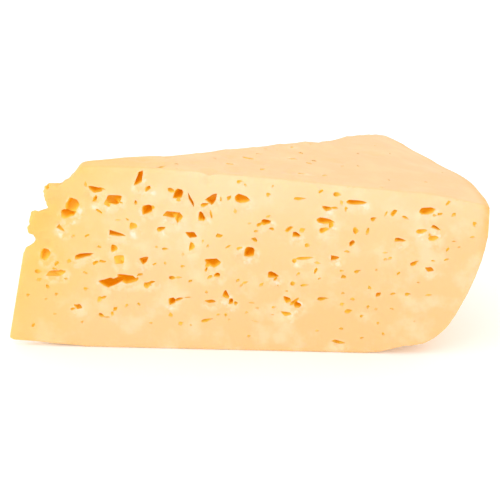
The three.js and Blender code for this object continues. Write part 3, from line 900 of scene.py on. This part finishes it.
def paste_material(colours):
    """Cheese paste: cloudy cream and a drier rim, with painted light: a glowing tip, a pale band under the
    top edge, pale slopes and white glints by the eyes, and eyes painted orange for shade and glow.
    """
    material = bpy.data.materials.new("cheese_paste")
    material.use_nodes = True
    material.node_tree.nodes.clear()
    sheet = Sheet(material.node_tree)
    metres = sheet.node("ShaderNodeTexCoord", {}, {}, "Object")
    place = scaled(sheet, metres, 1 / MM)
    depth = sheet.node("ShaderNodeAttribute", {"attribute_name": "eye_depth"}, {}, "Fac")
    facing = sheet.node("ShaderNodeAttribute", {"attribute_name": "skin_normal"}, {}, "Vector")
    under = sheet.node("ShaderNodeAttribute", {"attribute_name": "under_eye"}, {}, "Fac")

    from_tip = sheet.split(place, "X") - LOW.x / MM
    height = sheet.split(place, "Z") - LOW.z / MM
    upward = sheet.ramp(sheet.split(facing, "Z"), 0.45, 0.98)

    inner = 1.0 - sheet.ramp(from_tip, 78.0, 118.0)
    pale = sheet.ramp(height, 8.0, 40.0) * (0.35 + 0.65 * inner)
    pale = pale + 0.3 * (1.0 - sheet.ramp(from_tip, 45.0, 75.0))
    clouds = sheet.ramp(sheet.noise(place, 0.06, 3.0), 0.36, 0.68)
    wisps = sheet.ramp(sheet.noise(place, 0.16, 4.0), 0.46, 0.74)
    colour = sheet.mix(pale * 0.9, opaque(colours.peach), opaque(colours.cream))
    colour = sheet.mix(clouds * 0.35, colour, opaque(colours.peach))
    colour = sheet.mix(wisps * 0.5, colour, opaque(colours.butter_and_painted_light))
    blotches = sheet.ramp(sheet.noise(place, 0.11, 4.0), 0.42, 0.7)
    top = sheet.mix(blotches * 0.6, opaque(colours.blush), opaque(colours.cream))
    # Painted light: a pale band under the front's top edge, standing in for light from above shining
    # through the paste.
    below_top = height + from_tip * from_tip * 0.0005
    colour = sheet.mix(sheet.ramp(below_top, 38.0, 49.0) * 0.3, colour, opaque(colours.butter_and_painted_light))
    colour = sheet.mix(upward, colour, top)

    # Painted glow: the thin tip turns yellower, standing in for light shining through it.
    thin = (1.0 - sheet.ramp(from_tip - height * 0.55, -14.0, 26.0)) * (0.75 + 0.25 * clouds)
    colour = sheet.mix(thin * 0.9, colour, opaque(colours.tip_glow))

    from_axis = sheet.vector("SUBTRACT", place, tuple(WHEEL_AXIS / MM))
    flat = sheet.vector("MULTIPLY", from_axis, (1.0, 1.0, 0.0))
    radius = sheet.vector("LENGTH", flat, output="Value")
    outer = sheet.vector("DOT_PRODUCT", facing, sheet.vector("NORMALIZE", flat), output="Value")
    worn = 0.55 + 0.4 * sheet.ramp(sheet.noise(place, 0.3, 4.0), 0.35, 0.65)
    colour = sheet.mix(sheet.ramp(outer, 0.35, 0.8) * worn, colour, opaque(colours.rim))
    dry = sheet.ramp(radius, WHEEL_RADIUS / MM - 3.0, WHEEL_RADIUS / MM + 0.3)
    colour = sheet.mix(dry * worn * sheet.ramp(height, 10.0, 38.0), colour, opaque(colours.rind))

    # Painted highlight: the slopes under the eyes, which face the light, are painted paler.
    lit = 1.0 - sheet.ramp(under, 0.0, 1.9)
    patchy = sheet.ramp(sheet.noise(place, 0.5, 3.0), 0.38, 0.6)
    colour = sheet.mix(lit * patchy * 0.55, colour, opaque(colours.butter_and_painted_light))
    # Painted highlight: white glints just beside and under the eyes.
    glints = sheet.ramp(sheet.noise(place, 0.4, 3.0), 0.56, 0.7) * (1.0 - sheet.ramp(under, 0.2, 1.4))
    colour = sheet.mix(glints * 0.6, colour, opaque(colours.eye_glint))
    # Painted shade and glow: the eyes turn orange and darker with depth, standing in for light scattered
    # through the paste and for shade inside the eyes.
    hollow = sheet.ramp(depth, 0.04, 0.45)
    bottom = sheet.ramp(depth, 0.3, 1.4)
    colour = sheet.mix(hollow, colour, opaque(colours.eye_wall_glow))
    colour = sheet.mix(bottom, colour, opaque(colours.eye_bottom_shade_and_glow))
    # Painted glow: the eyes' walls give off light of their own colour, though they are no lamp.
    glow = sheet.mix(hollow, (0.0, 0.0, 0.0, 1.0), colour)

    gloss = 0.46 + 0.16 * sheet.noise(place, 0.5, 3.0) - 0.12 * hollow
    grain = sheet.noise(place, 1.3, 5.0) + 0.6 * sheet.noise(place, 0.35, 3.0)
    bump = sheet.node(
        "ShaderNodeBump", {}, {"Strength": 0.35, "Distance": 0.25 * MM, "Height": grain}
    )
    paste = sheet.node(
        "ShaderNodeBsdfPrincipled", {"subsurface_method": "RANDOM_WALK"},
        {
            "Base Color": colour, "Roughness": gloss, "Normal": bump, "IOR": 1.42,
            "Subsurface Weight": 0.3, "Subsurface Radius": (1.0, 0.55, 0.2),
            "Subsurface Scale": 3.5 * MM, "Emission Color": glow, "Emission Strength": 0.17,
        },
    )
    sheet.node("ShaderNodeOutputMaterial", {}, {"Surface": paste})
    return material


# --------------------------------------------------------------------------------- the stage


def floor_material():
    material = bpy.data.materials.new("white_floor")
    material.use_nodes = True
    material.node_tree.nodes.clear()
    sheet = Sheet(material.node_tree)
    place = sheet.node("ShaderNodeTexCoord", {}, {}, "Object")
    tone = sheet.noise(place, 30.0)
    colour = sheet.mix(tone, (0.93, 0.93, 0.93, 1.0), (0.97, 0.97, 0.97, 1.0))
    sockets = {
        "Base Color": colour, "Roughness": 0.8, "Emission Color": (1.0, 1.0, 1.0, 1.0),
        "Emission Strength": 0.15,
    }
    matt = sheet.node("ShaderNodeBsdfPrincipled", {}, sockets)
    sheet.node("ShaderNodeOutputMaterial", {}, {"Surface": matt})
    return material


def make_floor(size):
    half = size / 2
    mesh = bpy.data.meshes.new("floor")
    corners = [(-half, -half), (half, -half), (half, half), (-half, half)]
    mesh.from_pydata([(x, y, LOW.z) for x, y in corners], [], [(0, 1, 2, 3)])
    mesh.materials.append(floor_material())
    floor = linked_object("floor", mesh)


def make_room(strength):
    world = bpy.data.worlds.new("white_room")
    world.use_nodes = True
    background = world.node_tree.nodes["Background"]
    background.inputs["Color"].default_value = (1.0, 1.0, 1.0, 1.0)
    background.inputs["Strength"].default_value = strength
    bpy.context.scene.world = world


def aim(thing, place, target):
    thing.location = place
    thing.rotation_euler = (target - place).to_track_quat("-Z", "Y").to_euler()


def make_soft_light(name, place, size, power, target):
    lamp = bpy.data.lights.new(name, "AREA")
    lamp.shape = "DISK"
    lamp.size = size
    lamp.energy = power
    light = bpy.data.objects.new(name, lamp)
    bpy.context.scene.collection.objects.link(light)
    aim(light, place, target)


def make_camera(stage):
    flat = math.cos(stage.elevation)
    back = Vector((
        math.sin(stage.azimuth) * flat, -math.cos(stage.azimuth) * flat, math.sin(stage.elevation)
    ))
    data = bpy.data.cameras.new("camera")
    data.lens = stage.lens
    data.sensor_width = 36.0
    data.clip_start = 0.01
    camera = bpy.data.objects.new("camera", data)
    bpy.context.scene.collection.objects.link(camera)
    aim(camera, LOOK_AT + back * stage.distance, LOOK_AT)
    bpy.context.scene.camera = camera


# ------------------------------------------------------------------------------- the add-on


class CHEESE_OT_wedge(bpy.types.Operator):
    """Build the cheese wedge: softened skin, open eyes and cheese paste"""

    bl_idname = "cheese.wedge"
    bl_label = "Cheese Wedge"

    def execute(self, context):
        scene = context.scene
        material = paste_material(scene.cheese_colours)
        piece = make_wedge(scene.cheese_shape, material)
        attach(piece, "root")
        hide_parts(NODE)
        return {"FINISHED"}


class CHEESE_OT_stage(bpy.types.Operator):
    """Set the stage: white floor, white room, one soft light and the camera"""

    bl_idname = "cheese.stage"
    bl_label = "Stage"

    def execute(self, context):
        stage = context.scene.cheese_stage
        middle = (LOW + HIGH) / 2
        make_floor(stage.floor_size)
        make_room(stage.sky)
        make_soft_light("key_light", middle + KEY_PLACE, KEY_SIZE, stage.key_power, middle)
        make_camera(stage)
        context.scene.view_settings.view_transform = "Standard"
        return {"FINISHED"}


class CHEESE_PT_panel(bpy.types.Panel):
    """Sizes, colours and buttons of the cheese wedge"""

    bl_idname = "CHEESE_PT_panel"
    bl_label = "Cheese Wedge"
    bl_space_type = "VIEW_3D"
    bl_region_type = "UI"
    bl_category = "Cheese"

    def draw(self, context):
        scene = context.scene
        for group in (scene.cheese_shape, scene.cheese_colours, scene.cheese_stage):
            box = self.layout.box()
            for name in group.__annotations__:
                box.prop(group, name)
        self.layout.operator(CHEESE_OT_wedge.bl_idname)
        self.layout.operator(CHEESE_OT_stage.bl_idname)


CLASSES = (
    WedgeShape, WedgeColours, StageSettings, CHEESE_OT_wedge, CHEESE_OT_stage, CHEESE_PT_panel,
)


def register():
    for cls in CLASSES:
        bpy.utils.register_class(cls)
    bpy.types.Scene.cheese_shape = bpy.props.PointerProperty(type=WedgeShape)
    bpy.types.Scene.cheese_colours = bpy.props.PointerProperty(type=WedgeColours)
    bpy.types.Scene.cheese_stage = bpy.props.PointerProperty(type=StageSettings)


def unregister():
    del bpy.types.Scene.cheese_stage
    del bpy.types.Scene.cheese_colours
    del bpy.types.Scene.cheese_shape
    for cls in reversed(CLASSES):
        bpy.utils.unregister_class(cls)


def main():
    register()
    bpy.ops.cheese.stage()
    bpy.ops.cheese.wedge()


if __name__ == "__main__":
    main()
